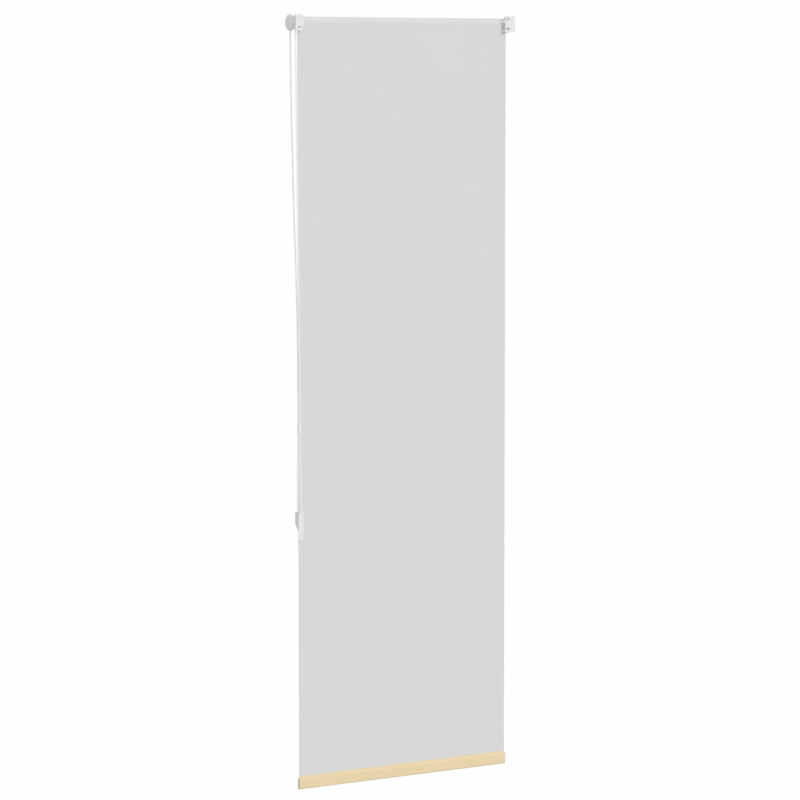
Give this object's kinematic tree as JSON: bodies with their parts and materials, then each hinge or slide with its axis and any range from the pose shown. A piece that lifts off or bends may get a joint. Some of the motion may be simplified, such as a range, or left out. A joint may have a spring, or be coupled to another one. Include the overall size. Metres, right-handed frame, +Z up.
{
  "type": "roller blind",
  "caption": "Chain-operated roller blind: coated cloth on a tube between two wall brackets, with a clutch, a bead chain, a chain tensioner and a weighted hem rail.",
  "frame": {"origin": "on the wall plane, at the centre of the four bracket slots, level with the tube's axis", "axes": "+X along the tube towards the chain, +Y into the wall, +Z up"},
  "size_m": [0.6, 0.049, 1.75],
  "materials": {
    "white_plastic": "satin moulded, white",
    "clutch_plastic": "moulded, pale grey",
    "chain_plastic": "glossy moulded beads on a braided cord",
    "spring_steel": "drawn, zinc plated",
    "tube_aluminium": "mill",
    "bar_aluminium": "mill",
    "coated_cloth": "plain woven polyester with a light grey light-blocking coating on the wall side",
    "cream_cloth": "plain woven polyester, cream front",
    "cap_plastic": "moulded, beige"
  },
  "bodies": {
    "root": {"control_bracket": "white_plastic", "control_bracket_cover": "white_plastic", "idle_bracket": "white_plastic", "idle_bracket_cover": "white_plastic", "clutch_housing": "white_plastic", "clutch_spindle": "clutch_plastic", "clutch_retainer": "spring_steel", "fabric_sheet": "coated_cloth", "bead_chain": "chain_plastic", "chain_wheel_cord": "chain_plastic", "chain_connector": "chain_plastic", "tensioner_back_plate": "white_plastic", "tensioner_body": "white_plastic", "tensioner_axle": "spring_steel"},
    "chain_drive": {"chain_wheel": "clutch_plastic", "wrap_springs": "spring_steel"},
    "roller": {"drive_plug": "clutch_plastic", "roller_tube": "tube_aluminium", "fabric_roll": "coated_cloth", "idle_plug": "clutch_plastic", "idle_spring": "spring_steel"},
    "sprung_pin": {"idle_pin": "spring_steel"},
    "bottom_rail": {"hem_pocket": "cream_cloth", "bottom_bar": "bar_aluminium", "rail_cap_control": "cap_plastic", "rail_cap_idle": "cap_plastic"},
    "pulley": {"tensioner_pulley": "clutch_plastic"}
  },
  "joints": [
    {"name": "roller_spin", "type": "hinge", "parent": "root", "child": "roller", "pos_m": [0, -0.03, 0], "axis": [1, 0, 0], "range_deg": [0, 6120]},
    {"name": "wheel_turn", "type": "hinge", "parent": "root", "child": "chain_drive", "pos_m": [0.2835, -0.03, 0], "axis": [1, 0, 0], "range_deg": [0, 6121]},
    {"name": "rail_lift", "type": "slide", "parent": "root", "child": "bottom_rail", "axis": [0, 0, 1], "range_m": [0, 1.6785], "deforming": ["fabric_sheet"]},
    {"name": "pulley_turn", "type": "hinge", "parent": "root", "child": "pulley", "pos_m": [0.2825, -0.00815, -1.115], "axis": [0.8028, 0.5962, 0], "range_deg": [0, 13760]},
    {"name": "pin_press", "type": "slide", "parent": "roller", "child": "sprung_pin", "axis": [1, 0, 0], "range_m": [0, 0.006], "stiffness_N_per_m": 300, "springref_m": -0.005, "deforming": ["idle_spring"]}
  ],
  "couplings": [
    {"joint": "wheel_turn", "follows": "roller_spin", "ratio": 1},
    {"joint": "rail_lift", "follows": "roller_spin", "m_per_rad": 0.01571},
    {"joint": "pulley_turn", "follows": "roller_spin", "ratio": 2.2469}
  ]
}
